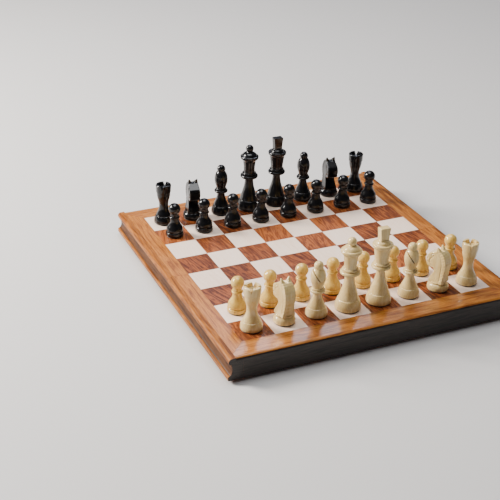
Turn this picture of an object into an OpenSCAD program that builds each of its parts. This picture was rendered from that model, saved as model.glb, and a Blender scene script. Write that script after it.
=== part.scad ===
// Folding chess set: a board made as two hinged trays, and 32 turned chessmen.
// Millimetres. +Z is up, +X runs along the ranks and +Y from white to black.
// The origin is the middle of the board's underside, on the table.

/* [Board] */
// Side of the open board
board_side = 305; // [295:1:320]
// Side of one square
square = 32.5; // [31:0.5:33]
// Height of the playing surface above the table
board_h = 25; // [23:0.5:30]
// Thickness of the inlaid squares and of the border strips
inlay_t = 2; // [1:0.5:3]
// Thickness of the panel under the squares
panel_t = 3; // [2:0.5:4]
// Width of a rail at the rim, seen from below
rail_w = 14.5; // [12:0.5:15]
// Width of a rail above the panel, outside the border strips
cap_w = 7.5; // [6:0.5:9]
// Thickness of the rails on each side of the fold
fold_rail_w = 8; // [7:0.5:10]
// Radius of the rounded top edge of the plain rails
edge_r = 3.5; // [2:0.5:5]
// Thickness of the felt lining in the trays
lining_t = 1.2; // [0.5:0.1:2]

/* [Foot pads and magnets] */
// Height of the foot pads, which keep the hinges off the table
pad_h = 2.5; // [2.4:0.1:4]
// Radius of a foot pad
pad_r = 4; // [3:0.5:6]
// Radius of a closing magnet
magnet_r = 3; // [2:0.5:4]
// Thickness of a closing magnet
magnet_t = 2; // [1:0.5:3]

/* [Hinges] */
// Length of one hinge
hinge_len = 25; // [20:1:35]
// Distance of each hinge from the middle of the fold
hinge_x = 96; // [70:1:110]
// Outer radius of the knuckles
knuckle_r = 1.15; // [1:0.05:1.2]
// Radius of the hinge pin
pin_r = 0.55; // [0.4:0.05:0.6]
// Thickness of a leaf
leaf_t = 0.7; // [0.5:0.1:0.8]

/* [Chessmen] */
// Radius of the king's base
king_base_r = 12; // [11:0.1:13]
// Radius of the queen's base
queen_base_r = 12.4; // [11:0.1:13]
// Radius of the bishop's base
bishop_base_r = 10.4; // [9:0.1:11]
// Radius of the rook's base
rook_base_r = 10.4; // [9:0.1:11]
// Radius of the knight's base
knight_base_r = 10.4; // [9:0.1:11]
// Radius of the pawn's base
pawn_base_r = 9.2; // [8:0.1:10]
// Thickness of the felt disc under a man
felt_t = 1; // [0.5:0.1:1.5]

/* [Hidden] */
side_names = ["far", "near"];
board_nodes = ["panel", "light_squares", "dark_squares", "border_strips", "left_rail",
    "right_rail", "end_rail", "fold_rail", "felt_lining", "hinge_leaves", "hinge_screws",
    "magnets", "foot_pads"];
files = "abcdefgh";
rank_names = ["rook", "knight", "bishop", "queen", "king", "bishop", "knight", "rook"];
colour_names = ["white", "black"];

function officer(i) = rank_names[i] == "king" || rank_names[i] == "queen"
    ? rank_names[i] : str(rank_names[i], "_", files[i]);
function man_name(colour, i) = str(colour, "_", i < 8 ? officer(i) : str("pawn_", files[i - 8]));

NODES = concat(
    [for (s = side_names, n = board_nodes) str(s, "_", n)],
    ["hinge_pins"],
    [for (c = colour_names, i = [0:15]) man_name(c, i)]);
node = "all";

pale_wood = [0.89, 0.80, 0.62];
black_wood = [0.06, 0.05, 0.05];
walnut = [0.48, 0.25, 0.15];
maple = [0.90, 0.83, 0.75];
border_wood = [0.66, 0.44, 0.25];
core_wood = [0.76, 0.60, 0.40];
felt_green = [0.07, 0.25, 0.15];
brass = [0.80, 0.62, 0.28];
steel = [0.72, 0.72, 0.74];

half_side = board_side / 2;
half_play = 4 * square;
joint_gap = 0.1;            // each half stops this far short of the fold line
glue_gap = 0.02;            // separate solids of one node stay this far apart
inner_x = half_side - rail_w;
cap_x = half_side - cap_w;
rim_z = pad_h;
panel_z = board_h - inlay_t - panel_t;
inlay_z = board_h - inlay_t;
axis_z = pad_h / 2;         // the fold turns about the line y = 0, z = axis_z
bore_r = pin_r + 0.05;
knuckle_count = 5;
knuckle_len = hinge_len / knuckle_count;
knuckle_gap = 0.15;
screw_x = hinge_len / 2 - 4.5;
screw_y = 4.6;
screw_r = 0.6;
screw_head_r = 1.35;
screw_len = 7;
screw_play = 0.03;          // the head stands this far clear of its countersink
finial_t = 6.6;
magnet_x = 60;
pad_first = [20, 34];       // the pads of the two halves are staggered, far then near, so that
pad_last = [132, 118];      // each meets bare rail in the closed box
lip_h = 4.6;                // moulding: base lip, bead, and the quirk under the bead
bead_r = 3.4;
bead_z = board_h - bead_r;
bead_x = half_side - 0.4 - bead_r;
quirk_x = half_side - 3;
bishop_yaw = -28;
rook_yaw = -121;
knight_yaw = [8, 26];       // the white knights look a little to the left of straight ahead
black_knight_yaw = 172;
small_fn = 32;
big_fn = 64;

// The near half is the far half turned round the fold line.
module half(s) {
    if (s == "far") children();
    else mirror([0, 1, 0]) children();
}

// ---------- outlines ----------

function arc(c, r, a0, a1, n) =
    [for (i = [0:n]) let (a = a0 + (a1 - a0) * i / n) c + r * [cos(a), sin(a)]];

function bezier(p, n) =
    [for (i = [0:n]) let (t = i / n, u = 1 - t)
        u * u * u * p[0] + 3 * u * u * t * p[1] + 3 * u * t * t * p[2] + t * t * t * p[3]];

// ---------- board ----------

module panel() color(core_wood)
    translate([-cap_x, joint_gap, panel_z])
        cube([2 * cap_x, cap_x - joint_gap, panel_t]);

// parity 0 draws the squares of a1's colour on the far half, parity 1 the others.
module squares(parity) {
    for (i = [0:7], j = [0:3])
        if ((i + j) % 2 == parity) {
            low_y = j == 0 ? joint_gap : j * square + glue_gap;
            translate([(i - 4) * square + glue_gap, low_y, inlay_z])
                cube([square - 2 * glue_gap, (j + 1) * square - glue_gap - low_y, inlay_t]);
        }
}

// Three strips with mitred corners, flush with the squares.
module border_strips() color(border_wood) {
    translate([0, 0, inlay_z])
        linear_extrude(inlay_t) {
            for (s = [-1, 1])
                polygon([[s * half_play, joint_gap], [s * cap_x, joint_gap],
                    [s * cap_x, cap_x - glue_gap], [s * half_play, half_play - glue_gap]]);
            polygon([[-half_play, half_play + glue_gap], [half_play, half_play + glue_gap],
                [cap_x - 2 * glue_gap, cap_x], [-cap_x + 2 * glue_gap, cap_x]]);
        }
}

// Moulding: base lip, cove and rounded bead, with a rabbet for the panel.
function moulding() = concat(
    [[inner_x, rim_z], [half_side - 0.8, rim_z], [half_side, rim_z + 0.8]],
    arc([half_side - 1, rim_z + lip_h - 1], 1, 0, 80, 4),
    bezier([[half_side - 1.6, rim_z + lip_h + 0.2], [quirk_x - 1.4, rim_z + lip_h + 1.6],
        [quirk_x - 1.6, bead_z - bead_r - 3], [quirk_x + 0.2, bead_z - bead_r - 0.4]], 10),
    [[quirk_x - 0.3, bead_z - bead_r + 0.2], [quirk_x - 0.3, bead_z - bead_r + 0.7]],
    arc([bead_x, bead_z], bead_r, -62, 90, 12),
    [[cap_x, board_h], [cap_x, panel_z], [inner_x, panel_z]]);

module side_rail(s) color(border_wood)
    translate([0, half_side, 0])
        rotate([90, 0, 0])
            linear_extrude(half_side - joint_gap)
                polygon([for (p = moulding()) [s * p[0], p[1]]]);

// Plain flat rail between the mouldings, with pockets for two magnets.
module end_rail() color(border_wood)
    difference() {
        rotate([90, 0, 90]) {
            translate([0, 0, -inner_x])
                linear_extrude(2 * inner_x)
                    polygon([[inner_x, rim_z], [half_side, rim_z], [half_side, panel_z],
                        [inner_x, panel_z]]);
            translate([0, 0, -cap_x])
                linear_extrude(2 * cap_x)
                    polygon(concat([[cap_x, panel_z], [half_side, panel_z]],
                        arc([half_side - edge_r, board_h - edge_r], edge_r, 0, 90, 8),
                        [[cap_x, board_h]]));
        }
        for (s = [-1, 1]) magnet(s, 1);
    }

module magnet(s, below) {
    translate([s * magnet_x, half_side - rail_w / 2, rim_z - below])
        cylinder(r = magnet_r, h = magnet_t + below, $fn = small_fn);
}

module fold_rail() color(core_wood)
    difference() {
        translate([-inner_x, joint_gap, rim_z])
            cube([2 * inner_x, fold_rail_w - joint_gap, panel_z - rim_z]);
        each_screw() translate([0, 0, -1]) cylinder(r = screw_r, h = screw_len + 1, $fn = small_fn);
    }

module felt_lining() color(felt_green)
    translate([-inner_x + 0.3, fold_rail_w + 0.3, panel_z - lining_t])
        cube([2 * inner_x - 0.6, inner_x - fold_rail_w - 0.6, lining_t]);

module foot_pads(first, last) color(felt_green)
    for (s = [-1, 1], y = [first, last])
        translate([s * (half_side - rail_w / 2), y, 0])
            cylinder(r = pad_r, h = pad_h, $fn = small_fn);

// ---------- hinges ----------

module each_hinge() for (s = [-1, 1]) translate([s * hinge_x, 0, 0]) children();

module each_screw()
    each_hinge()
        for (s = [-1, 1]) translate([s * screw_x, screw_y, rim_z]) children();

// own is 0 for the leaf with the outer and middle knuckles, 1 for the other leaf.
module leaf(own) {
    plate_z = rim_z - leaf_t;
    difference() {
        union() {
            translate([-hinge_len / 2, knuckle_r + 0.3, plate_z])
                cube([hinge_len, fold_rail_w - 1 - knuckle_r - 0.3, leaf_t]);
            for (k = [own:2:knuckle_count - 1])
                translate([-hinge_len / 2 + k * knuckle_len + (k == 0 ? 0 : knuckle_gap), 0, 0])
                    knuckle(knuckle_len - (k == 0 || k == knuckle_count - 1 ? 1 : 2) * knuckle_gap);
        }
        translate([-hinge_len, 0, axis_z]) rotate([0, 90, 0])
            cylinder(r = bore_r, h = 2 * hinge_len, $fn = small_fn);
        for (s = [-1, 1])
            translate([s * screw_x, screw_y, plate_z - 0.01])
                cylinder(r1 = screw_head_r, r2 = screw_r, h = leaf_t + 0.02, $fn = small_fn);
    }
}

module knuckle(len) {
    translate([0, 0, axis_z]) rotate([0, 90, 0])
        cylinder(r = knuckle_r, h = len, $fn = small_fn);
    translate([0, 0, axis_z + knuckle_r - leaf_t])
        cube([len, knuckle_r + 0.5, leaf_t]);
}

module hinge_leaves(own) color(brass) each_hinge() leaf(own);

module hinge_pins() color(steel)
    each_hinge()
        translate([-hinge_len / 2 + 0.2, 0, axis_z]) rotate([0, 90, 0])
            cylinder(r = pin_r, h = hinge_len - 0.4, $fn = small_fn);

module hinge_screws() color(brass)
    each_screw()
        translate([0, 0, -leaf_t]) {
            cylinder(r1 = screw_head_r - screw_play, r2 = screw_r - screw_play, h = leaf_t,
                $fn = small_fn);
            cylinder(r = screw_r, h = leaf_t + screw_len, $fn = small_fn);
        }

// ---------- chessmen ----------
// Each outline is [radius, height] above the playing surface, from the base to the top.

base_z = felt_t + glue_gap;

// Bell-shaped foot with a ring line at its shoulder, then a flare up to the neck.
function foot(r, shoulder, neck_r, neck_z) = concat(
    [[0, base_z], [r - 0.5, base_z], [r, base_z + 0.6], [r, base_z + 1.6]],
    bezier([[r * 0.99, base_z + 2.2], [r * 0.99, shoulder * 0.55],
        [r * 0.9, shoulder * 0.8], [r * 0.83, shoulder]], 6),
    [[r * 0.77, shoulder + 0.3], [r * 0.77, shoulder + 0.8]],
    bezier([[r * 0.77, shoulder + 0.8], [r * 0.63, shoulder + (neck_z - shoulder) * 0.36],
        [neck_r, shoulder + (neck_z - shoulder) * 0.55], [neck_r, neck_z]], 8));

// Half-round ring between two heights.
function ring(r, z0, z1) = arc([r - (z1 - z0) / 2, (z0 + z1) / 2], (z1 - z0) / 2, -90, 90, 6);

module turned(points, r) {
    rotate_extrude($fn = big_fn) polygon(points);
    cylinder(r = r - 0.8, h = felt_t, $fn = big_fn);
}

module king() {
    turned(concat(
        foot(king_base_r, 10.5, 4, 35.6),
        ring(9.3, 36.4, 39.6),
        ring(7.8, 39.8, 42.2),
        bezier([[6.5, 42.4], [6.4, 47], [7.4, 52], [8.1, 57]], 5),
        [[9.6, 58.8], [9.7, 60.8], [9.2, 61.4], [7.2, 61.4]],
        bezier([[6.9, 61.8], [6.6, 63.4], [5.4, 64], [4.8, 64.2]], 4),
        [[4.6, 65.4], [0, 65.4]]), king_base_r);
    king_finial();
}

// Flat-topped block that widens to its top, standing on the dome.
module king_finial()
    translate([0, finial_t / 2, 0]) rotate([90, 0, 0])
        linear_extrude(finial_t)
            polygon([[-4.2, 64.6], [4.2, 64.6], [4.3, 69], [5.2, 76.8], [4.7, 77.4], [-4.7, 77.4],
                [-5.2, 76.8], [-4.3, 69]]);

module queen()
    turned(concat(
        foot(queen_base_r, 10.8, 4.5, 35.8),
        ring(9.5, 36.6, 40),
        ring(7.6, 40.2, 42.6),
        bezier([[6.1, 42.8], [5.7, 47], [6.2, 51], [7, 55.8]], 5),
        [[9.6, 58.8], [9.8, 60.8], [9.2, 61.4], [8, 61.6]],
        bezier([[7.8, 62], [7.2, 64.2], [5, 65], [3.4, 65.6]], 4),
        [[3, 66.2]],
        arc([0, 69.3], 4.2, -46, 90, 8)), queen_base_r);

// yaw turns the side that the mitre's cut opens to.
module bishop(yaw)
    rotate([0, 0, yaw])
        difference() {
            turned(concat(
                foot(bishop_base_r, 9, 4, 24),
                ring(7.2, 24.8, 27.4),
                ring(5.8, 27.6, 29.2),
                bezier([[4.9, 29.4], [5.2, 33], [7, 34.6], [7, 39.4]], 5),
                bezier([[7, 39.4], [7, 43.6], [5.8, 46.6], [4.1, 48.6]], 5),
                arc([0, 51.2], 4.4, -28, 90, 6)), bishop_base_r);
            translate([2, -10, 37]) rotate([0, 53, 0]) translate([-18, 0, 0]) cube([18, 20, 1]);
        }

module rook(yaw)
    rotate([0, 0, yaw])
        difference() {
            turned(concat(
                foot(rook_base_r, 9, 4.8, 21),
                bezier([[4.8, 21.6], [5, 27], [7, 28], [7.2, 35]], 6),
                [[7.8, 36.4], [8, 43.4], [7.4, 44], [5.4, 44], [5, 40.4], [0, 39.8]]),
                rook_base_r);
            for (a = [0:90:270])
                rotate([0, 0, a])
                    rotate([90, 0, 90])
                        linear_extrude(12)
                            polygon([[0, 39.2], [1.9, 45], [-1.9, 45]]);
        }

module pawn()
    turned(concat(
        [[0, base_z], [pawn_base_r - 0.5, base_z], [pawn_base_r, base_z + 0.6],
            [pawn_base_r, base_z + 2.2]],
        arc([pawn_base_r - 1.1, base_z + 3.2], 1, -20, 90, 4),
        [[pawn_base_r - 1.2, base_z + 4.5]],
        bezier([[pawn_base_r - 0.5, base_z + 5.2], [pawn_base_r - 0.3, 11.6], [4.7, 12],
            [4.4, 19.6]], 8),
        ring(5.4, 20, 22.4),
        [[4.5, 22.6], [4.3, 24.4]],
        arc([0, 30.1], 6.2, -45, 90, 10)), pawn_base_r);

// Flat-sided head on a turned foot. The muzzle points along +Y at yaw 0.
module knight(yaw)
    rotate([0, 0, yaw]) {
        turned(concat(
            [[0, base_z], [knight_base_r - 0.5, base_z], [knight_base_r, base_z + 0.6],
                [knight_base_r, base_z + 1.6]],
            bezier([[10.3, 3.4], [10.3, 4.8], [9.6, 6.4], [8.6, 7.2]], 5),
            [[8, 7.5], [8, 8.1], [8.3, 8.6], [8.1, 9.6], [0, 9.6]]), knight_base_r);
        intersection() {
            translate([-10, 0, 0]) rotate([90, 0, 90]) linear_extrude(20) polygon(knight_side());
            translate([0, 16, 0]) rotate([90, 0, 0]) linear_extrude(32) polygon(knight_front());
        }
    }

// Side of the head, [forward, height].
function knight_side() = concat(
    bezier([[7.4, 9], [8, 13], [4.2, 16], [3.2, 20.6]], 5),
    bezier([[4.2, 23.4], [6.6, 22.8], [9.6, 22.8], [11.2, 25]], 4),
    bezier([[11.6, 26.6], [12.4, 31], [12.4, 35.4], [10.2, 36.6]], 4),
    [[2.6, 41], [2.2, 45.4], [0.6, 44.6], [-1.4, 41.2]],
    bezier([[-3, 40.8], [-7.6, 38.4], [-9.8, 31.6], [-8.8, 24.6]], 6),
    bezier([[-8.4, 22], [-7.4, 17], [-7, 13], [-7.4, 9]], 4));

// Front of the head, [sideways, height], with a notch between the ears.
function knight_front() = let (right = concat(
        bezier([[7, 9], [6.6, 12], [5.3, 15], [5.3, 20]], 4),
        bezier([[5.3, 23], [5.9, 28], [5.9, 33], [5.5, 38]], 4),
        [[4.8, 45.2], [3.6, 45], [0.9, 40.6]]))
    concat(right, [for (i = [len(right) - 1:-1:0]) [-right[i][0], right[i][1]]]);

module man(colour, i) {
    white = colour == "white";
    rank_y = (i < 8 ? 3.5 : 2.5) * square * (white ? -1 : 1);
    color(white ? pale_wood : black_wood)
        translate([(i % 8 - 3.5) * square, rank_y, board_h])
            if (i >= 8) pawn();
            else if (rank_names[i] == "king") king();
            else if (rank_names[i] == "queen") queen();
            else if (rank_names[i] == "bishop") bishop(bishop_yaw);
            else if (rank_names[i] == "rook") rook(rook_yaw);
            else knight(white ? knight_yaw[i < 4 ? 0 : 1] : black_knight_yaw);
}

// ---------- one node at a time ----------

function wanted(name) = node == "all" || node == name;

for (s = side_names) {
    far = s == "far";
    if (wanted(str(s, "_panel"))) half(s) panel();
    if (wanted(str(s, "_light_squares"))) color(maple) half(s) squares(far ? 1 : 0);
    if (wanted(str(s, "_dark_squares"))) color(walnut) half(s) squares(far ? 0 : 1);
    if (wanted(str(s, "_border_strips"))) half(s) border_strips();
    if (wanted(str(s, "_left_rail"))) half(s) side_rail(-1);
    if (wanted(str(s, "_right_rail"))) half(s) side_rail(1);
    if (wanted(str(s, "_end_rail"))) half(s) end_rail();
    if (wanted(str(s, "_fold_rail"))) half(s) fold_rail();
    if (wanted(str(s, "_felt_lining"))) half(s) felt_lining();
    if (wanted(str(s, "_hinge_leaves"))) half(s) hinge_leaves(far ? 0 : 1);
    if (wanted(str(s, "_hinge_screws"))) half(s) hinge_screws();
    if (wanted(str(s, "_magnets"))) color(steel) half(s) for (m = [-1, 1]) magnet(m, 0);
    if (wanted(str(s, "_foot_pads"))) half(s) foot_pads(pad_first[far ? 0 : 1], pad_last[far ? 0 : 1]);
}
if (wanted("hinge_pins")) hinge_pins();
for (c = colour_names, i = [0:15])
    if (wanted(man_name(c, i))) man(c, i);
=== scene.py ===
"""Looks of the folding chess set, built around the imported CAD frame.
Lengths are in metres; outlines of the men and of the mouldings are in millimetres."""
import math

import bmesh
import bpy
import numpy as np
from mathutils import Matrix, Vector


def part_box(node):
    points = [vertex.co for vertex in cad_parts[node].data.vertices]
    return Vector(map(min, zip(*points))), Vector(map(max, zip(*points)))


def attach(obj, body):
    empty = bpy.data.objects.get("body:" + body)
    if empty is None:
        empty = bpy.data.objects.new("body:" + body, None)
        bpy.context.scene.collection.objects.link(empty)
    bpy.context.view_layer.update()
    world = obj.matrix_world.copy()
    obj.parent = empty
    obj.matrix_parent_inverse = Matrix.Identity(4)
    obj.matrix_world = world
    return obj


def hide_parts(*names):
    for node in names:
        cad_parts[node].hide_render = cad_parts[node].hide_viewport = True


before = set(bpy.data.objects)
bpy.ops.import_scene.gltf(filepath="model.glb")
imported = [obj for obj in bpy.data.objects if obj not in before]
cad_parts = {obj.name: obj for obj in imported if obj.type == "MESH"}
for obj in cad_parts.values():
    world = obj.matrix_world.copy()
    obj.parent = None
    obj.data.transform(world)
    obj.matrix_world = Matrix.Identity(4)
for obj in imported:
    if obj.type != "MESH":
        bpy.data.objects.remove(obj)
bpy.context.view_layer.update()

MM = 0.001
GAP = 0.02 * MM                            # separate solids of one node stay this far apart
FILES = "abcdefgh"
RANK = ["rook", "knight", "bishop", "queen", "king", "bishop", "knight", "rook"]
HALVES = {"far": 1, "near": -1}            # side of the fold, as a factor on y
BODY = {"far": "far_half", "near": "near_half"}
PAD_R = 4 * MM                             # felt foot pads
SCREW_PITCH = 16 * MM                      # between the two screws of a leaf
LIP_H, BEAD_R = 4.6, 3.4                   # of the side moulding, in mm
SHARP_ANGLE = math.radians(32)             # faces that meet at more than this keep a sharp edge

TILES_LOW, TILES_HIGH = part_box("far_dark_squares")
PANEL_LOW, PANEL_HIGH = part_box("far_panel")
RAIL_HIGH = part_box("far_right_rail")[1]
FOLD_LOW, FOLD_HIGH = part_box("far_fold_rail")
TOP = TILES_HIGH.z                         # playing surface
SQUARE = (TILES_HIGH.x - TILES_LOW.x + 2 * GAP) / 8
HALF_PLAY = 4 * SQUARE
HALF_SIDE = RAIL_HIGH.x
CAP_X = PANEL_HIGH.x                       # inner edge of the rails above the panel
INNER_X = FOLD_HIGH.x                      # inner edge of the rails below the panel
FOLD_GAP = PANEL_LOW.y                     # each half stops this far short of the fold line
RIM_Z = FOLD_LOW.z                         # underside of the rails


# ---------------------------------------------------------------- camera, light and floor

def make_camera():
    """From the white side, a little to the left, looking down at 28 degrees."""
    data = bpy.data.cameras.new("camera")
    data.lens, data.sensor_width = 81.15, 36
    data.clip_start, data.clip_end = 0.05, 20
    cam = bpy.data.objects.new("camera", data)
    cam.location = (-0.473, -0.8914, 0.5616)
    cam.rotation_euler = [math.radians(a) for a in (61.91, -1.32, -23.89)]
    bpy.context.scene.collection.objects.link(cam)
    bpy.context.scene.camera = cam


def area_light(name, place, target, size, watts, colour):
    data = bpy.data.lights.new(name, "AREA")
    data.shape, data.size, data.size_y = "RECTANGLE", size[0], size[1]
    data.energy, data.color = watts, colour
    lamp = bpy.data.objects.new(name, data)
    lamp.location = place
    lamp.rotation_euler = (Vector(target) - Vector(place)).to_track_quat("-Z", "Y").to_euler()
    bpy.context.scene.collection.objects.link(lamp)


def make_light():
    """A window behind on the left, a soft light overhead, a pale panel behind, and a dim even sky."""
    world = bpy.data.worlds.new("studio")
    bpy.context.scene.world = world
    world.use_nodes = True
    sky = world.node_tree.nodes["Background"]
    sky.inputs["Color"].default_value = (0.86, 0.90, 1.0, 1)
    sky.inputs["Strength"].default_value = 0.09
    area_light("window", (-1.15, 0.75, 0.85), (0, 0, 0.03), (0.45, 0.7), 66, (1.0, 0.96, 0.91))
    area_light("overhead", (0.0, 0.2, 1.6), (0, 0, 0), (1.0, 0.9), 20, (0.97, 0.98, 1.0))
    area_light("panel_behind", (0.55, 1.5, 1.32), (0, -0.1, 0), (0.8, 0.4), 7, (0.80, 0.84, 1.0))


def make_floor():
    bpy.ops.mesh.primitive_plane_add(size=8)
    floor = bpy.context.object
    floor.name = "floor"
    floor.data.materials.append(new_material("floor_paper", (0.66, 0.64, 0.62), 0.7)[0])


# ---------------------------------------------------------------- materials

def new_material(name, colour, roughness, metallic=0.0):
    mat = bpy.data.materials.new(name)
    mat.use_nodes = True
    nodes, links = mat.node_tree.nodes, mat.node_tree.links
    shader = nodes["Principled BSDF"]
    shader.inputs["Base Color"].default_value = (*colour, 1)
    shader.inputs["Roughness"].default_value = roughness
    shader.inputs["Metallic"].default_value = metallic
    return mat, nodes, links, shader


def plug(links, socket, value):
    """Gives a socket a constant or the output of another node."""
    if isinstance(value, (int, float)):
        socket.default_value = value
    elif isinstance(value, tuple):
        socket.default_value = (*value, 1) if len(socket.default_value) == 4 else value
    else:
        links.new(value, socket)


def noise_node(nodes, links, place, scale, detail=2.0, roughness=0.5, distortion=0.0):
    made = nodes.new("ShaderNodeTexNoise")
    for name, value in (("Scale", scale), ("Detail", detail), ("Roughness", roughness),
                        ("Distortion", distortion)):
        made.inputs[name].default_value = value
    links.new(place, made.inputs["Vector"])
    return made.outputs["Fac"]


def ramp(nodes, links, source, stops):
    """A colour ramp of (position, linear colour) stops."""
    made = nodes.new("ShaderNodeValToRGB")
    elements = made.color_ramp.elements
    while len(elements) < len(stops):
        elements.new(0.5)
    for element, (place, colour) in zip(elements, stops):
        element.position, element.color = place, (*colour, 1)
    links.new(source, made.inputs[0])
    return made.outputs[0]


def math_node(nodes, links, operation, a, b=None):
    made = nodes.new("ShaderNodeMath")
    made.operation = operation
    plug(links, made.inputs[0], a)
    if b is not None:
        plug(links, made.inputs[1], b)
    return made.outputs[0]


def vector_node(nodes, links, operation, a, b):
    made = nodes.new("ShaderNodeVectorMath")
    made.operation = operation
    plug(links, made.inputs[0], a)
    plug(links, made.inputs[1], b)
    return made.outputs["Vector"]


def mix_colour(nodes, links, factor, a, b):
    made = nodes.new("ShaderNodeMix")
    made.data_type = "RGBA"
    for name, value in (("Factor_Float", factor), ("A_Color", a), ("B_Color", b)):
        plug(links, next(s for s in made.inputs if s.identifier == name), value)
    return next(s for s in made.outputs if s.identifier == "Result_Color")


def bump(nodes, links, shader, height, strength, distance):
    relief = nodes.new("ShaderNodeBump")
    relief.inputs["Strength"].default_value = strength
    relief.inputs["Distance"].default_value = distance
    links.new(height, relief.inputs["Height"])
    links.new(relief.outputs["Normal"], shader.inputs["Normal"])


def wood(name, tones, grain, figure=1.0, streak=0.45, pores=0.35, cells=None, shift=(0.0, 0.0, 0.0),
         tint=0.0, swing=0.0, end_axis=None, rough=0.42, coat=0.8, coat_rough=0.09, relief=0.12):
    """Lacquered wood. tones: dark to light linear colours. grain: mapping scale, small along the grain.
    cells: size of separately cut pieces, each with its own grain, its tone as far off as tint says and its
    grain turned by up to swing radians. end_axis: direction of the grain, whose cut ends look darker."""
    mat, nodes, links, shader = new_material(name, tones[1], rough)
    coordinates = nodes.new("ShaderNodeTexCoord")
    place = coordinates.outputs["Object"]
    tone_shift = None
    if cells:
        cell = vector_node(nodes, links, "ADD", vector_node(nodes, links, "DIVIDE", place, cells), shift)
        random = nodes.new("ShaderNodeTexWhiteNoise")
        links.new(vector_node(nodes, links, "FLOOR", cell, (0.0, 0.0, 0.0)), random.inputs["Vector"])
        tone_shift = random.outputs["Value"]
        if swing:
            turn = nodes.new("ShaderNodeVectorRotate")
            turn.rotation_type = "Z_AXIS"
            links.new(place, turn.inputs["Vector"])
            angle = math_node(nodes, links, "SUBTRACT", tone_shift, 0.5)
            links.new(math_node(nodes, links, "MULTIPLY", angle, 2 * swing), turn.inputs["Angle"])
            place = turn.outputs["Vector"]
        place = vector_node(nodes, links, "ADD", place, random.outputs["Color"])
    scaled = vector_node(nodes, links, "MULTIPLY", place, tuple(float(g) for g in grain))
    broad = noise_node(nodes, links, scaled, 1.0, 3.0, 0.55, 0.6)
    rings = math_node(nodes, links, "MULTIPLY", broad, 7.0 * figure)
    streaks = math_node(nodes, links, "PINGPONG", rings, 1.0)
    fine = noise_node(nodes, links, scaled, 5.0, 5.0, 0.7, 0.2)
    value = math_node(nodes, links, "ADD", math_node(nodes, links, "MULTIPLY", streaks, streak),
                      math_node(nodes, links, "MULTIPLY", fine, 1.07 - streak))
    if tint:
        offset = math_node(nodes, links, "SUBTRACT", tone_shift, 0.5)
        offset = math_node(nodes, links, "MULTIPLY", offset, tint)
        value = math_node(nodes, links, "ADD", value, offset)
    colour = ramp(nodes, links, value, [(0.22, tones[0]), (0.5, tones[1]), (0.8, tones[2])])
    dark = tuple(c * 0.35 for c in tones[0])
    pore = noise_node(nodes, links, scaled, 22.0)
    holes = ramp(nodes, links, pore, [(0.60, (0.0, 0.0, 0.0)), (0.70, (1.0, 1.0, 1.0))])
    colour = mix_colour(nodes, links, math_node(nodes, links, "MULTIPLY", holes, pores), colour, dark)
    if end_axis:
        facing = nodes.new("ShaderNodeVectorMath")
        facing.operation = "DOT_PRODUCT"
        links.new(coordinates.outputs["Normal"], facing.inputs[0])
        facing.inputs[1].default_value = end_axis
        across = math_node(nodes, links, "ABSOLUTE", facing.outputs["Value"])
        across = math_node(nodes, links, "MULTIPLY", math_node(nodes, links, "POWER", across, 4.0), 0.5)
        colour = mix_colour(nodes, links, across, colour, tuple(c * 0.5 for c in tones[0]))
    links.new(colour, shader.inputs["Base Color"])
    height = math_node(nodes, links, "SUBTRACT", fine, math_node(nodes, links, "MULTIPLY", holes, 0.6))
    bump(nodes, links, shader, height, relief, 0.0003)
    shader.inputs["Specular IOR Level"].default_value = 0.12
    shader.inputs["Coat Weight"].default_value = coat
    shader.inputs["Coat Roughness"].default_value = coat_rough
    shader.inputs["Coat IOR"].default_value = 1.5
    return mat


def felt(name, colour):
    """Short dense felt: mottled colour, fibre relief and a soft sheen."""
    mat, nodes, links, shader = new_material(name, colour, 0.95)
    place = nodes.new("ShaderNodeTexCoord").outputs["Object"]
    fibres = noise_node(nodes, links, place, 1900.0, 4.0, 0.7, 1.5)
    tufts = noise_node(nodes, links, place, 260.0)
    value = math_node(nodes, links, "ADD", math_node(nodes, links, "MULTIPLY", fibres, 0.6),
                      math_node(nodes, links, "MULTIPLY", tufts, 0.4))
    tones = [tuple(c * f for c in colour) for f in (0.45, 1.0, 1.7)]
    links.new(ramp(nodes, links, value, list(zip((0.35, 0.5, 0.68), tones))), shader.inputs["Base Color"])
    bump(nodes, links, shader, value, 0.6, 0.0002)
    shader.inputs["Sheen Weight"].default_value = 0.5
    shader.inputs["Sheen Roughness"].default_value = 0.6
    return mat


def metal(name, colour, rough):
    """Polished metal with faint tarnish and hairline scratches."""
    mat, nodes, links, shader = new_material(name, colour, rough, 1.0)
    place = nodes.new("ShaderNodeTexCoord").outputs["Object"]
    tarnish = noise_node(nodes, links, place, 420.0, 4.0, 0.65)
    dull = tuple(c * 0.6 for c in colour)
    links.new(ramp(nodes, links, tarnish, [(0.35, dull), (0.6, colour)]), shader.inputs["Base Color"])
    links.new(ramp(nodes, links, tarnish, [(0.3, (rough + 0.2,) * 3), (0.65, (rough,) * 3)]),
              shader.inputs["Roughness"])
    drawn = vector_node(nodes, links, "MULTIPLY", place, (300.0, 9000.0, 9000.0))
    bump(nodes, links, shader, noise_node(nodes, links, drawn, 1.0, 3.0), 0.1, 0.0001)
    return mat


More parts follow.
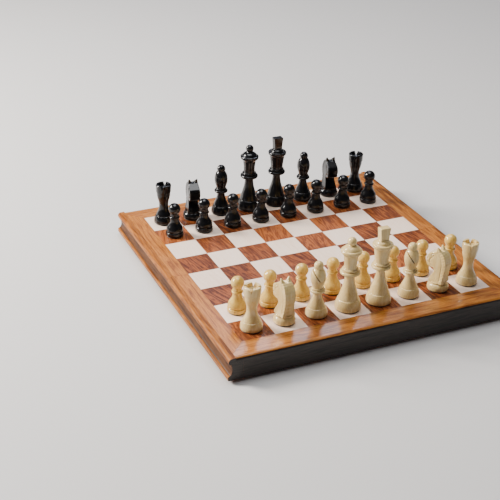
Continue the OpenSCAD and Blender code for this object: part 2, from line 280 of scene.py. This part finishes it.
def make_materials():
    along_y, along_x, along_z = (260, 22, 260), (22, 260, 260), (330, 330, 26)
    tile = (SQUARE, SQUARE, 1.0)
    half_strip, whole_strip = (1.0, 1.0, 1.0), (0.5, 0.0, 0.0)
    walnut = [(0.078, 0.019, 0.007), (0.235, 0.060, 0.016), (0.40, 0.118, 0.032)]
    oak = [(0.12, 0.031, 0.006), (0.33, 0.100, 0.014), (0.54, 0.205, 0.034)]
    # A darker copy of the oak for the side rails' outer faces: painted shade where they turn away from the
    # light.
    oak_painted_shade = [(0.07, 0.018, 0.003), (0.21, 0.060, 0.008), (0.40, 0.140, 0.022)]
    plain = [(0.36, 0.21, 0.10), (0.52, 0.35, 0.18), (0.62, 0.45, 0.27)]
    return {
        "dark_inlay": wood("walnut_inlay", walnut, (230, 30, 230), 1.1, 0.5, 0.5, tile, tint=0.30, swing=0.35,
                           coat=0.2, coat_rough=0.2),
        "light_inlay": wood("maple_inlay", [(0.84, 0.60, 0.45), (0.95, 0.73, 0.58), (0.97, 0.79, 0.66)],
                            (200, 20, 200), 0.4, 0.25, 0.08, tile, tint=0.16, swing=0.2, coat=0.5,
                            coat_rough=0.12),
        "border_side": wood("border_along_files", oak, along_y, 0.8, 0.4, 0.35, half_strip,
                            end_axis=(0.0, 1.0, 0.0), coat=0.45, coat_rough=0.2),
        "moulding": wood("moulding_wood_painted_shade", oak_painted_shade, along_y, 0.8, 0.45, 0.4, half_strip,
                         end_axis=(0.0, 1.0, 0.0), coat=0.12, coat_rough=0.3),
        "border_end": wood("border_along_ranks", oak, along_x, 0.8, 0.4, 0.35, half_strip, whole_strip,
                           end_axis=(1.0, 0.0, 0.0), coat=1.0, coat_rough=0.2),
        # A much darker copy of the moulding wood for the cove: painted shade in the hollow under the bead.
        "cove": wood("moulding_cove_painted_shade", [(0.018, 0.006, 0.002), (0.055, 0.018, 0.005), (0.12, 0.042, 0.009)],
                     along_y, 0.8, 0.45, 0.4, half_strip, coat=0.1, coat_rough=0.3),
        # Near-black wood for the board's near and far faces: a dark stain, made this dark also as painted
        # shade for the deep shade those faces sit in.
        "stain_with_painted_shade": wood("rail_stain_with_painted_shade", [(0.010, 0.007, 0.006), (0.020, 0.014, 0.012),
                                                   (0.034, 0.024, 0.019)],
                             along_x, 0.8, 0.4, 0.3, half_strip, whole_strip, coat=0.5, coat_rough=0.25),
        "core_wood": wood("plain_wood", plain, along_x, 0.8, 0.45, 0.3, rough=0.7, coat=0.0),
        "green_felt": felt("green_felt", (0.012, 0.085, 0.040)),
        "base_felt": felt("base_felt", (0.010, 0.022, 0.014)),
        "brass": metal("brass", (0.78, 0.53, 0.20), 0.22),
        "magnet_steel": metal("nickel", (0.66, 0.65, 0.62), 0.2),
        "pale_men": wood("boxwood", [(0.62, 0.41, 0.14), (0.76, 0.56, 0.24), (0.83, 0.66, 0.34)],
                         along_z, 0.5, 0.3, 0.06, rough=0.34, coat=0.9, coat_rough=0.08, relief=0.05),
        # A warmer, more yellow copy of the boxwood for the white pawns: painted bounce light from the orange
        # board.
        "pale_pawns_painted_bounce": wood("boxwood_pawns_painted_bounce", [(0.58, 0.33, 0.06), (0.74, 0.48, 0.11), (0.82, 0.60, 0.20)],
                           along_z, 0.5, 0.3, 0.06, rough=0.34, coat=0.9, coat_rough=0.08, relief=0.05),
        "black_men": wood("ebonised_wood", [(0.003, 0.003, 0.004), (0.005, 0.005, 0.006),
                                            (0.009, 0.008, 0.009)],
                          along_z, 0.5, 0.3, 0.2, rough=0.30, coat=0.65, coat_rough=0.05, relief=0.04),
    }


# ---------------------------------------------------------------- mesh helpers

def link_mesh(name, mesh):
    piece = bpy.data.objects.new(name, mesh)
    bpy.context.scene.collection.objects.link(piece)
    return piece


def mesh_from(name, verts, faces):
    mesh = bpy.data.meshes.new(name)
    mesh.from_pydata([tuple(v) for v in verts], [], [tuple(f) for f in faces])
    mesh.validate()
    return mesh


def shade(mesh):
    """Smooth shading, with sharp edges where faces meet at more than SHARP_ANGLE."""
    work = bmesh.new()
    work.from_mesh(mesh)
    bmesh.ops.recalc_face_normals(work, faces=work.faces)
    for face in work.faces:
        face.smooth = True
    for edge in work.edges:
        edge.smooth = len(edge.link_faces) == 2 and edge.calc_face_angle(0) < SHARP_ANGLE
    work.to_mesh(mesh)
    work.free()


def applied(piece):
    """The piece with its modifiers turned into mesh."""
    graph = bpy.context.evaluated_depsgraph_get()
    mesh = bpy.data.meshes.new_from_object(piece.evaluated_get(graph))
    piece.modifiers.clear()
    old = piece.data
    piece.data = mesh
    bpy.data.meshes.remove(old)
    return piece


def flat_faced(piece):
    """Smooth shading that leaves large flat faces flat right up to their eased edges."""
    shade(piece.data)
    step = piece.modifiers.new("normals", "WEIGHTED_NORMAL")
    step.keep_sharp, step.weight = True, 100
    return applied(piece)


def cut(piece, cutter, operation="DIFFERENCE"):
    step = piece.modifiers.new("cut", "BOOLEAN")
    step.operation, step.object, step.solver = operation, cutter, "EXACT"
    applied(piece)
    bpy.data.objects.remove(cutter)
    return piece


def bevel(piece, width, segments=2, angle=30):
    step = piece.modifiers.new("bevel", "BEVEL")
    step.width, step.segments, step.limit_method = width, segments, "ANGLE"
    step.angle_limit = math.radians(angle)
    return applied(piece)


def arc(centre, radius, start, end, steps=10):
    """Points along a circular arc, angles in degrees."""
    angles = np.radians(np.linspace(start, end, steps + 1))
    return [(centre[0] + radius * math.cos(a), centre[1] + radius * math.sin(a)) for a in angles]


def bezier(points, steps=16):
    p = [np.array(q, float) for q in points]
    curve = []
    for t in np.linspace(0, 1, steps + 1):
        u = 1 - t
        curve.append(tuple(u ** 3 * p[0] + 3 * u * u * t * p[1] + 3 * u * t * t * p[2] + t ** 3 * p[3]))
    return curve


def soften(points, reach=0.25):
    """Rounds each sharp corner of an open outline, starting this far from the corner."""
    kept = [np.array(points[0], float)]
    for p in points[1:]:
        if np.linalg.norm(np.array(p) - kept[-1]) > 1e-4:
            kept.append(np.array(p, float))
    out = [kept[0]]
    for before, p, after in zip(kept, kept[1:], kept[2:]):
        before, after = before - p, after - p
        lengths = np.linalg.norm(before), np.linalg.norm(after)
        before, after = before / lengths[0], after / lengths[1]
        turn = math.degrees(math.acos(max(-1, min(1, -float(before @ after)))))
        if turn < 24:
            out.append(p)
            continue
        back = min(reach, 0.42 * lengths[0], 0.42 * lengths[1])
        a, b = p + before * back, p + after * back
        out += [(1 - t) ** 2 * a + 2 * t * (1 - t) * p + t * t * b for t in (0, 0.25, 0.5, 0.75, 1)]
    return out + [kept[-1]]


def lathe(name, outline, sides=96, reach=0.25):
    """A turned solid from [radius, height] points in mm, starting and ending on the axis."""
    verts, faces, rings = [], [], []
    for r, z in soften(outline, reach):
        if r < 1e-6:
            rings.append([len(verts)])
            verts.append((0, 0, z * MM))
            continue
        rings.append(list(range(len(verts), len(verts) + sides)))
        for k in range(sides):
            a = 2 * math.pi * k / sides
            verts.append((r * math.cos(a) * MM, r * math.sin(a) * MM, z * MM))
    for low, high in zip(rings, rings[1:]):
        for k in range(sides):
            n = (k + 1) % sides
            if len(low) == 1:
                faces.append((low[0], high[n], high[k]))
            elif len(high) == 1:
                faces.append((low[k], low[n], high[0]))
            else:
                faces.append((low[k], low[n], high[n], high[k]))
    return link_mesh(name, mesh_from(name, verts, faces))


def prism(name, outline, low, high, to_place):
    """A closed outline pushed from low to high; to_place turns (a, b, depth) in mm into x, y, z in mm."""
    count = len(outline)
    verts = [Vector(to_place(a, b, d)) * MM for d in (low, high) for a, b in outline]
    faces = [tuple(range(count)), tuple(range(2 * count - 1, count - 1, -1))]
    faces += [(i, i + count, (i + 1) % count + count, (i + 1) % count) for i in range(count)]
    mesh = mesh_from(name, verts, faces)
    work = bmesh.new()
    work.from_mesh(mesh)
    bmesh.ops.recalc_face_normals(work, faces=work.faces)
    work.to_mesh(mesh)
    work.free()
    return link_mesh(name, mesh)


def join(name, pieces):
    work = bmesh.new()
    for piece in pieces:
        work.from_mesh(piece.data)
    mesh = bpy.data.meshes.new(name)
    work.to_mesh(mesh)
    work.free()
    for piece in pieces:
        bpy.data.objects.remove(piece)
    return link_mesh(name, mesh)


def mirrored(piece, factor):
    """Turns a piece of the far half into the near half's when factor is -1."""
    if factor < 0:
        piece.data.transform(Matrix.Scale(-1, 4, (0, 1, 0)))
    return flat_faced(piece)


def finish_piece(piece, body, material, slot, *replaced):
    piece.data.materials.clear()
    piece.data.materials.append(material)
    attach(piece, body)
    if replaced:
        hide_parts(*replaced)


# ---------------------------------------------------------------- chessmen
# Each outline is (radius, height) above the playing surface, from the base to the top.

FELT_T, BASE_Z = 1.0, 1.02
BASE_R = {"king": 12.0, "queen": 12.4, "bishop": 10.4, "rook": 10.4, "knight": 10.4, "pawn": 9.2}
YAW = {"bishop": -28, "rook": -121}        # degrees
WHITE_KNIGHT_YAW = {"b": 8, "g": 26}
BLACK_KNIGHT_YAW = 172


def foot(r, shoulder, neck_r, neck_z):
    """Bell foot, ring line at the shoulder, and the flare up to the neck."""
    rise = neck_z - shoulder
    return ([(0, BASE_Z), (r - 0.5, BASE_Z), (r, BASE_Z + 0.6), (r, BASE_Z + 1.6)]
            + bezier([(r * 0.99, BASE_Z + 2.2), (r * 0.99, shoulder * 0.55), (r * 0.9, shoulder * 0.8),
                      (r * 0.83, shoulder)])
            + [(r * 0.77, shoulder + 0.3), (r * 0.77, shoulder + 0.8)]
            + bezier([(r * 0.765, shoulder + 0.8), (r * 0.63, shoulder + rise * 0.36),
                      (neck_r, shoulder + rise * 0.55), (neck_r, neck_z)], 24))


def ring(r, low, high):
    half = (high - low) / 2
    return arc((r - half, low + half), half, -90, 90, 12)


def king():
    body = lathe("king", foot(BASE_R["king"], 10.5, 4, 35.6) + ring(9.3, 36.4, 39.6) + ring(7.8, 39.8, 42.2)
                 + bezier([(6.5, 42.4), (6.4, 47), (7.4, 52), (8.1, 57)])
                 + [(9.6, 58.8), (9.7, 60.8), (9.2, 61.4), (7.2, 61.4)]
                 + bezier([(6.9, 61.8), (6.6, 63.4), (5.4, 64), (4.8, 64.2)], 8)
                 + [(4.6, 65.4), (0, 65.4)])
    finial = prism("finial", [(-4.2, 64.6), (4.2, 64.6), (4.3, 69), (5.2, 76.8), (4.7, 77.4), (-4.7, 77.4),
                              (-5.2, 76.8), (-4.3, 69)],
                   -3.3, 3.3, lambda a, b, d: (a, d, b))
    bevel(finial, 0.5 * MM, 3, 20)
    return join("king", [body, finial])


def queen():
    return lathe("queen", foot(BASE_R["queen"], 10.8, 4.5, 35.8) + ring(9.5, 36.6, 40) + ring(7.6, 40.2, 42.6)
                 + bezier([(6.1, 42.8), (5.7, 47), (6.2, 51), (7, 55.8)])
                 + [(9.6, 58.8), (9.8, 60.8), (9.2, 61.4), (8, 61.6)]
                 + bezier([(7.8, 62), (7.2, 64.2), (5, 65), (3.4, 65.6)], 8)
                 + [(3, 66.2)] + arc((0, 69.3), 4.2, -46, 90, 20))


def bishop():
    body = lathe("bishop", foot(BASE_R["bishop"], 9, 4, 24) + ring(7.2, 24.8, 27.4) + ring(5.8, 27.6, 29.2)
                 + bezier([(4.9, 29.4), (5.2, 33), (7, 34.6), (7, 39.4)], 14)
                 + bezier([(7, 39.4), (7, 43.6), (5.8, 46.6), (4.1, 48.6)], 14)[1:]
                 + arc((0, 51.2), 4.4, -28, 90, 14))
    slit = prism("slit", [(-18, 0), (0, 0), (0, 1), (-18, 1)], -10, 10, lambda a, b, d: (a, d, b))
    slit.data.transform(Matrix.Translation((2 * MM, 0, 37 * MM)) @ Matrix.Rotation(math.radians(53), 4, "Y"))
    return cut(body, slit)


def rook():
    body = lathe("rook", foot(BASE_R["rook"], 9, 4.8, 21)
                 + bezier([(4.8, 21.6), (5, 27), (7, 28), (7.2, 35)])
                 + [(7.8, 36.4), (8, 43.4), (7.4, 44), (5.4, 44), (5, 40.4), (0, 39.8)])
    for turn in range(4):
        notch = prism("notch", [(0, 39.2), (1.9, 45), (-1.9, 45)], 0, 12, lambda a, b, d: (d, a, b))
        notch.data.transform(Matrix.Rotation(math.pi / 2 * turn, 4, "Z"))
        cut(body, notch)
    return body


def pawn():
    r = BASE_R["pawn"]
    return lathe("pawn", [(0, BASE_Z), (r - 0.5, BASE_Z), (r, BASE_Z + 0.6), (r, BASE_Z + 2.2)]
                 + arc((r - 1.1, BASE_Z + 3.2), 1, -20, 90, 6) + [(r - 1.2, BASE_Z + 4.5)]
                 + bezier([(r - 0.5, BASE_Z + 5.2), (r - 0.3, 11.6), (4.7, 12), (4.4, 19.6)], 24)
                 + ring(5.4, 20, 22.4) + [(4.5, 22.6), (4.3, 24.4)] + arc((0, 30.1), 6.2, -45, 90, 28))


def knight_outline():
    """Side of the knight's head in mm: forward, height."""
    return (bezier([(7.4, 8.6), (8, 13), (4.2, 16), (3.2, 20.6)], 10)
            + bezier([(4.2, 23.4), (6.6, 22.8), (9.6, 22.8), (11.2, 25)], 8)
            + bezier([(11.6, 26.6), (12.4, 31), (12.4, 35.4), (10.2, 36.6)], 10)
            + [(2.6, 41), (2.2, 45.4), (0.6, 44.6), (-1.4, 41.2)]
            + bezier([(-3, 40.8), (-7.6, 38.4), (-9.8, 31.6), (-8.8, 24.6)], 12)
            + bezier([(-8.6, 23), (-7.4, 17), (-7, 13), (-7.4, 8.6)], 8)[1:])


def knight_front():
    """Front of the knight's head in mm, with a notch between the ears: sideways, height."""
    right = (bezier([(7, 8.6), (6.6, 12), (5.3, 15), (5.3, 20)], 8)
             + bezier([(5.3, 23), (5.9, 28), (5.9, 33), (5.5, 38)], 8)
             + [(4.8, 45.2), (3.6, 45), (0.9, 40.6)])
    return right + [(-a, b) for a, b in reversed(right)]


def distance_to(points, line):
    """Distance of each (forward, height) point from a line of points."""
    best = np.full(len(points), 1e9)
    for a, b in zip(line, line[1:]):
        a, b = np.array(a), np.array(b)
        along = np.clip(((points - a) @ (b - a)) / ((b - a) @ (b - a)), 0, 1)
        best = np.minimum(best, np.linalg.norm(points - a - along[:, None] * (b - a), axis=1))
    return best


def groove(points, line, width):
    """How deep each point lies in a groove along a line, from 0 to 1."""
    return np.exp(-(distance_to(points, line) / width) ** 2)


def carve_knight(mesh):
    """Cheek, eye, nostril, mouth and mane, cut shallow into the flat sides of the head."""
    count = len(mesh.vertices)
    place, normal = np.empty(count * 3), np.empty(count * 3)
    mesh.vertices.foreach_get("co", place)
    mesh.vertices.foreach_get("normal", normal)
    place, normal = place.reshape(-1, 3) / MM, normal.reshape(-1, 3)
    side = place[:, 1:3]
    on_flank = np.clip(np.abs(normal[:, 0]) * 1.6 - 0.3, 0, 1)
    crest = bezier([(-1.2, 41.2), (-8.2, 39.5), (-10.2, 31.6), (-8.6, 22.6)], 24) + [(-7.6, 16), (-7.2, 12)]
    mane_edge = (bezier([(0.2, 39.6), (-3.6, 36.6), (-5.4, 31.0), (-4.6, 23.6)], 16)
                 + [(-4.0, 17), (-4.2, 12.5)])
    flank = (0.40 * groove(side, arc((3.4, 29.6), 4.8, -75, 70, 10), 0.6)          # cheek
             + 0.70 * groove(side, [(12.6, 27.6), (9.8, 28.0), (8.2, 27.4)], 0.42)   # mouth
             + 0.60 * groove(side, arc((10.8, 31.6), 0.4, -60, 150, 5), 0.45)       # nostril
             + 0.50 * groove(side, arc((5.6, 36.0), 1.1, 20, 340, 12), 0.42)        # eye
             - 0.30 * groove(side, [(5.5, 36.0), (5.7, 36.0)], 0.7)
             + 0.40 * groove(side, mane_edge, 0.5))
    strands = 0.5 + 0.5 * np.cos(2 * math.pi * (side[:, 1] + 0.75 * side[:, 0]) / 3.1)
    on_mane = 1 / (1 + np.exp((distance_to(side, crest) - 3.6) * 2.2))
    on_mane *= (side[:, 1] > 11.5) * (side[:, 1] < 41.0)
    depth = flank * on_flank + 0.22 * strands * on_mane
    place -= normal * depth[:, None]
    mesh.vertices.foreach_set("co", (place * MM).ravel())
    mesh.update()


def knight():
    """The muzzle points along +Y."""
    r = BASE_R["knight"]
    base = lathe("knight_base", [(0, BASE_Z), (r - 0.5, BASE_Z), (r, BASE_Z + 0.6), (r, BASE_Z + 1.6)]
                 + bezier([(10.3, 3.4), (10.3, 4.8), (9.6, 6.4), (8.6, 7.2)], 10)
                 + [(8, 7.5), (8, 8.1), (8.3, 8.6), (8.1, 9.6), (0, 9.6)])
    head = prism("head", knight_outline(), -10, 10, lambda a, b, d: (d, a, b))
    front = prism("front", knight_front(), -16, 16, lambda a, b, d: (a, d, b))
    cut(head, front, "INTERSECT")
    even = head.modifiers.new("even", "REMESH")
    even.mode, even.voxel_size = "VOXEL", 0.36 * MM
    relax = head.modifiers.new("relax", "SMOOTH")
    relax.factor, relax.iterations = 0.5, 6
    applied(head)
    carve_knight(head.data)
    settle = head.modifiers.new("settle", "SMOOTH")
    settle.factor, settle.iterations = 0.5, 2
    applied(head)
    return join("knight", [base, head])


def felt_disc(name, r):
    return lathe(name, [(0, 0), (r - 0.15, 0), (r, 0.2), (r, 0.8), (r - 0.15, FELT_T), (0, FELT_T)], 64, 0.1)


def make_man(colour, i, shapes, looks):
    kind = RANK[i] if i < 8 else "pawn"
    letter = FILES[i % 8]
    name = f"{colour}_{kind}" + ("" if kind in ("king", "queen") else "_" + letter)
    turn = YAW.get(kind, 0)
    if kind == "knight":
        turn = WHITE_KNIGHT_YAW[letter] if colour == "white" else BLACK_KNIGHT_YAW
    rank_y = (3.5 if i < 8 else 2.5) * SQUARE * (-1 if colour == "white" else 1)
    place = (Matrix.Translation(((i % 8 - 3.5) * SQUARE, rank_y, TOP))
             @ Matrix.Rotation(math.radians(turn), 4, "Z"))
    slot = "pale_men" if colour == "white" else "black_men"
    man = link_mesh(name + "_wood", shapes[kind].data.copy())
    man.data.transform(place)
    # White pawns take the warmer copy of the boxwood, with its painted bounce light.
    look = "pale_pawns_painted_bounce" if kind == "pawn" and colour == "white" else slot
    finish_piece(man, name, looks[look], slot, name)
    disc = felt_disc(name + "_felt", BASE_R[kind] - 0.8)
    disc.data.transform(place)
    shade(disc.data)
    finish_piece(disc, name, looks["base_felt"], "green_felt", name)


def make_men(looks):
    shapes = {"king": king(), "queen": queen(), "bishop": bishop(), "rook": rook(), "knight": knight(),
              "pawn": pawn()}
    for shape in shapes.values():
        flat_faced(shape)
    for colour in ("white", "black"):
        for i in range(16):
            make_man(colour, i, shapes, looks)
    for shape in shapes.values():
        bpy.data.objects.remove(shape)


# ---------------------------------------------------------------- board

def block(name, low, high, width=0.0):
    """A box with its edges rounded by width, all in metres."""
    work = bmesh.new()
    bmesh.ops.create_cube(work, size=1)
    for vert in work.verts:
        vert.co = [(low[k] + high[k]) / 2 + vert.co[k] * (high[k] - low[k]) for k in range(3)]
    if width:
        bmesh.ops.bevel(work, geom=list(work.edges), offset=width, segments=2, profile=0.5, affect="EDGES")
    mesh = bpy.data.meshes.new(name)
    work.to_mesh(mesh)
    work.free()
    return link_mesh(name, mesh)


def make_squares(side, shade_name, parity, looks):
    """Sixteen tiles with finely eased edges; on the far half parity 0 is the colour of a1."""
    tiles = []
    for i in range(8):
        for j in range(4):
            if (i + j) % 2 == parity:
                low_y = FOLD_GAP if j == 0 else j * SQUARE + GAP
                tiles.append(block("tile", ((i - 4) * SQUARE + GAP, low_y, TILES_LOW.z),
                                   ((i - 3) * SQUARE - GAP, (j + 1) * SQUARE - GAP, TOP), 0.10 * MM))
    name = f"{side}_{shade_name}_squares"
    squares = mirrored(join(name + "_inlay", tiles), HALVES[side])
    slot = shade_name + "_inlay"
    finish_piece(squares, BODY[side], looks[slot], slot, name)


def make_border(side, looks):
    """Three strips with mitred corners, grain along each."""
    low, high = TILES_LOW.z / MM, TOP / MM
    play, cap, fold, gap = HALF_PLAY / MM, CAP_X / MM, FOLD_GAP / MM, GAP / MM
    for name, factor in (("left", -1), ("right", 1)):
        outline = [(factor * play, fold), (factor * cap, fold), (factor * cap, cap - gap),
                   (factor * play, play - gap)]
        strip = prism(f"{side}_border_{name}", outline, low, high, lambda a, b, d: (a, b, d))
        bevel(strip, 0.12 * MM)
        finish_piece(mirrored(strip, HALVES[side]), BODY[side], looks["border_side"], "border_wood",
                     f"{side}_border_strips")
    outline = [(-play, play + gap), (play, play + gap), (cap - 2 * gap, cap), (-cap + 2 * gap, cap)]
    strip = prism(f"{side}_border_end", outline, low, high, lambda a, b, d: (a, b, d))
    bevel(strip, 0.12 * MM)
    finish_piece(mirrored(strip, HALVES[side]), BODY[side], looks["border_end"], "border_wood",
                 f"{side}_border_strips")


def moulding():
    """Section of a side rail in mm: base lip, cove and bead outside, a rabbet for the panel inside."""
    half, inner, cap, rim, top = (v / MM for v in (HALF_SIDE, INNER_X, CAP_X, RIM_Z, TOP))
    bead_x, bead_z, quirk_x = half - 0.4 - BEAD_R, top - BEAD_R, half - 3
    panel = PANEL_LOW.z / MM
    return ([(inner, rim), (half - 0.8, rim), (half, rim + 0.8)]
            + arc((half - 1, rim + LIP_H - 1), 1, 0, 80, 8)
            + bezier([(half - 1.6, rim + LIP_H + 0.2), (quirk_x - 1.4, rim + LIP_H + 1.6),
                      (quirk_x - 1.6, bead_z - BEAD_R - 3), (quirk_x + 0.2, bead_z - BEAD_R - 0.4)], 24)
            + [(quirk_x - 0.3, bead_z - BEAD_R + 0.2), (quirk_x - 0.3, bead_z - BEAD_R + 0.7)]
            + arc((bead_x, bead_z), BEAD_R, -62, 90, 24)
            + [(cap, top), (cap, panel), (inner, panel)])


def darken_end_faces(rail, plain):
    """Gives the board's near and far faces the near-black wood, a dark stain with painted shade in it, and
    the rest of the rail its own wood.
    """
    rail.data.materials.append(plain)
    for face in rail.data.polygons:
        outer = abs(face.normal.y) > 0.8 and abs(face.center.y) > HALF_SIDE - 1.0 * MM
        face.material_index = 0 if outer else 1


def paint_cove_shade(rail, cove_shade_wood):
    """Paints shade into the hollow between the lip and the bead: its faces get a much darker wood than both.
    """
    rail.data.materials.append(cove_shade_wood)
    low, high = RIM_Z + (LIP_H + 0.2) * MM, TOP - (2 * BEAD_R - 0.9) * MM
    deepest_x = HALF_SIDE - 7 * MM
    for face in rail.data.polygons:
        along_rail = abs(face.normal.y) < 0.5
        if along_rail and abs(face.center.x) > deepest_x and low < face.center.z < high:
            face.material_index = 2


def make_side_rails(side, looks):
    for name, factor in (("left", -1), ("right", 1)):
        rail = prism(f"{side}_{name}_moulding", [(factor * a, b) for a, b in moulding()],
                     FOLD_GAP / MM, HALF_SIDE / MM, lambda a, b, d: (a, d, b))
        bevel(rail, 0.15 * MM, 2, 40)
        finish_piece(mirrored(rail, HALVES[side]), BODY[side], looks["stain_with_painted_shade"], "border_wood",
                     f"{side}_{name}_rail")
        darken_end_faces(rail, looks["moulding"])
        paint_cove_shade(rail, looks["cove"])


def make_end_rail(side, looks):
    """A flat rail with a near-black face (dark stain with painted shade) and a rounded top edge, drilled for
    its two magnets.
    """
    half, inner, cap, rim, top = (v / MM for v in (HALF_SIDE, INNER_X, CAP_X, RIM_Z, TOP))
    edge_r, panel = 3.5, PANEL_LOW.z / MM
    lower = prism("lower", [(inner, rim), (half, rim), (half, panel), (inner, panel)], -inner, inner,
                  lambda a, b, d: (d, a, b))
    rounded_edge = arc((half - edge_r, top - edge_r), edge_r, 0, 90, 16)
    upper = prism("upper", [(cap, panel), (half, panel)] + rounded_edge + [(cap, top)], -cap, cap,
                  lambda a, b, d: (d, a, b))
    rail = cut(lower, upper, "UNION")
    magnet_low, magnet_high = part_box(f"{side}_magnets")
    magnet_r = (magnet_high.y - magnet_low.y) / 2 / MM
    for factor in (-1, 1):
        pocket = lathe("pocket", [(0, rim - 1), (magnet_r, rim - 1), (magnet_r, magnet_high.z / MM),
                                  (0, magnet_high.z / MM)], 64, 0.01)
        centre_y = abs(magnet_low.y + magnet_high.y) / 2
        pocket.data.transform(Matrix.Translation((factor * (magnet_high.x - magnet_r * MM), centre_y, 0)))
        cut(rail, pocket)
    rail.name = f"{side}_end_rail_wood"
    mirrored(rail, HALVES[side])
    finish_piece(rail, BODY[side], looks["stain_with_painted_shade"], "border_wood", f"{side}_end_rail")
    darken_end_faces(rail, looks["border_end"])


def make_felts(side, looks):
    """The tray's lining, cut from sheet felt, and the felt pads under the rails."""
    low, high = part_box(f"{side}_felt_lining")
    lining = block(f"{side}_lining_felt", low, high, 0.3 * MM)
    shade(lining.data)
    finish_piece(lining, BODY[side], looks["green_felt"], "green_felt", f"{side}_felt_lining")
    low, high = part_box(f"{side}_foot_pads")
    pads = []
    for x in (low.x + PAD_R, high.x - PAD_R):
        for y in (low.y + PAD_R, high.y - PAD_R):
            t, r = high.z / MM, PAD_R / MM
            pad = lathe("pad", [(0, 0)] + bezier([(r - 0.7, 0), (r - 0.1, 0.05), (r, 0.3), (r, 0.8)], 6)
                        + [(r, t - 0.2), (r - 0.1, t), (0, t)], 48, 0.1)
            pad.data.transform(Matrix.Translation((x, y, 0)))
            pads.append(pad)
    pads = join(f"{side}_felt_pads", pads)
    shade(pads.data)
    finish_piece(pads, BODY[side], looks["green_felt"], "green_felt", f"{side}_foot_pads")


def make_screws(side, looks):
    """Countersunk slotted screws, one under each end of both leaves."""
    low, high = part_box(f"{side}_hinge_screws")
    head_r, shank_r, leaf_t = 1.32, 0.6, 0.7
    length = (high.z - low.z) / MM
    centre_y = (low.y + high.y) / 2
    outer = high.x - head_r * MM
    inner = outer - SCREW_PITCH
    screws = []
    for x in (-outer, -inner, inner, outer):
        screw = lathe("screw", [(0, 0), (head_r, 0), (shank_r, leaf_t), (shank_r, length - 1), (0, length)],
                      32, 0.05)
        slot = prism("slot", [(-2, -0.2), (2, -0.2), (2, 0.2), (-2, 0.2)], -1, 0.35,
                     lambda a, b, d: (a, b, d))
        slot.data.transform(Matrix.Rotation(0.7 + 9 * x / HALF_SIDE, 4, "Z"))
        cut(screw, slot)
        screw.data.transform(Matrix.Translation((x, centre_y, low.z)))
        screws.append(screw)
    screws = join(f"{side}_screws", screws)
    shade(screws.data)
    finish_piece(screws, BODY[side], looks["brass"], "brass", f"{side}_hinge_screws")


def dress(node_name, material):
    """A CAD solid that keeps its shape gets its material."""
    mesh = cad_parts[node_name].data
    mesh.materials.clear()
    mesh.materials.append(material)


def make_board(looks):
    for side in HALVES:
        make_squares(side, "light", 1 if side == "far" else 0, looks)
        make_squares(side, "dark", 0 if side == "far" else 1, looks)
        make_border(side, looks)
        make_side_rails(side, looks)
        make_end_rail(side, looks)
        make_felts(side, looks)
        make_screws(side, looks)
        dress(f"{side}_panel", looks["core_wood"])
        dress(f"{side}_fold_rail", looks["core_wood"])
        dress(f"{side}_hinge_leaves", looks["brass"])
        dress(f"{side}_magnets", looks["magnet_steel"])
    dress("hinge_pins", looks["magnet_steel"])


# ---------------------------------------------------------------- the whole set

make_camera()
make_light()
make_floor()
LOOKS = make_materials()
make_board(LOOKS)
make_men(LOOKS)
